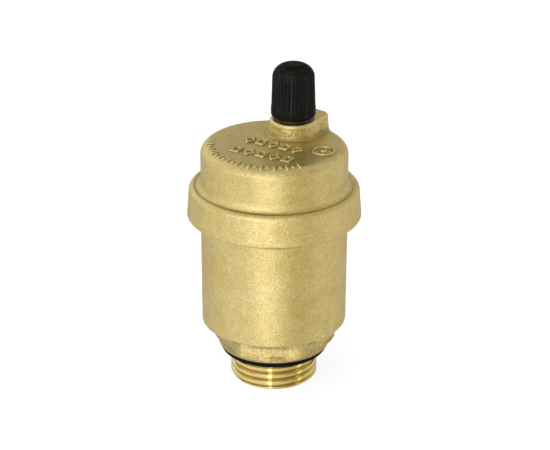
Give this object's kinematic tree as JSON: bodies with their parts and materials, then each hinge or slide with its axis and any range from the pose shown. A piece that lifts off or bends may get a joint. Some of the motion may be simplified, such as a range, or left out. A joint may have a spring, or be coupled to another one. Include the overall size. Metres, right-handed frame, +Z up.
{
  "type": "automatic air vent",
  "caption": "Float-type automatic air vent in forged brass: male threaded inlet with hexagon, domed bowl, screwed cover with an offset vent nozzle under a ribbed black cap.",
  "frame": {"origin": "centre of the inlet thread's end face, on the body's axis", "axes": "+Z up along the body's axis, -Y towards the side opposite the vent nozzle's boss (the boss lies 58.3 degrees from +X towards +Y)"},
  "size_m": [0.0414, 0.0414, 0.0774],
  "materials": {
    "forged_brass": "sand-blasted forging, satin",
    "turned_brass": "machined, bright",
    "black_rubber": "matte",
    "black_plastic": "moulded, satin",
    "steel": "stainless, brushed",
    "float_plastic": "moulded polypropylene"
  },
  "bodies": {
    "housing": {"body": "forged_brass", "cover": "forged_brass", "cover_o_ring": "black_rubber", "base_o_ring": "black_rubber", "nozzle": "turned_brass", "nozzle_o_ring": "black_rubber", "cap_seat_ring": "black_rubber", "valve_spring": "steel", "lever_bracket": "steel", "lever_pin": "steel", "lever_pin_clip": "steel"},
    "float": {"float_shell": "float_plastic", "float_lid": "float_plastic", "float_hook": "steel"},
    "float_lever": {"lever": "steel"},
    "valve": {"valve_stem": "steel", "valve_pad": "black_rubber", "stem_clip": "steel", "spring_retainer": "turned_brass", "retainer_clip": "steel"},
    "cap_insert": {"cap_seal": "black_rubber"},
    "cap": {"vent_cap": "black_plastic"}
  },
  "joints": [
    {"name": "float_rise", "type": "slide", "parent": "housing", "child": "float", "axis": [0, 0, 1], "range_m": [0, 0.00438]},
    {"name": "lever_swing", "type": "hinge", "parent": "housing", "child": "float_lever", "pos_m": [0.00657, 0.01064, 0.0512], "axis": [-0.8508, 0.5255, 0], "range_deg": [0, 20]},
    {"name": "stem_lift", "type": "slide", "parent": "housing", "child": "valve", "axis": [0, 0, 1], "range_m": [0, 0.00141], "deforming": ["valve_spring"]},
    {"name": "cap_lift", "type": "slide", "parent": "housing", "child": "cap_insert", "axis": [0, 0, 1], "range_m": [0, 0.00318]},
    {"name": "cap_turn", "type": "hinge", "parent": "cap_insert", "child": "cap", "pos_m": [0.00445, 0.0072, 0.07], "axis": [0, 0, 1], "range_deg": [0, 1440]}
  ],
  "couplings": [
    {"joint": "lever_swing", "follows": "float_rise", "rad_per_m": 79.767},
    {"joint": "stem_lift", "follows": "float_rise", "ratio": 0.32221},
    {"joint": "cap_turn", "follows": "cap_lift", "rad_per_m": 7913.3}
  ]
}
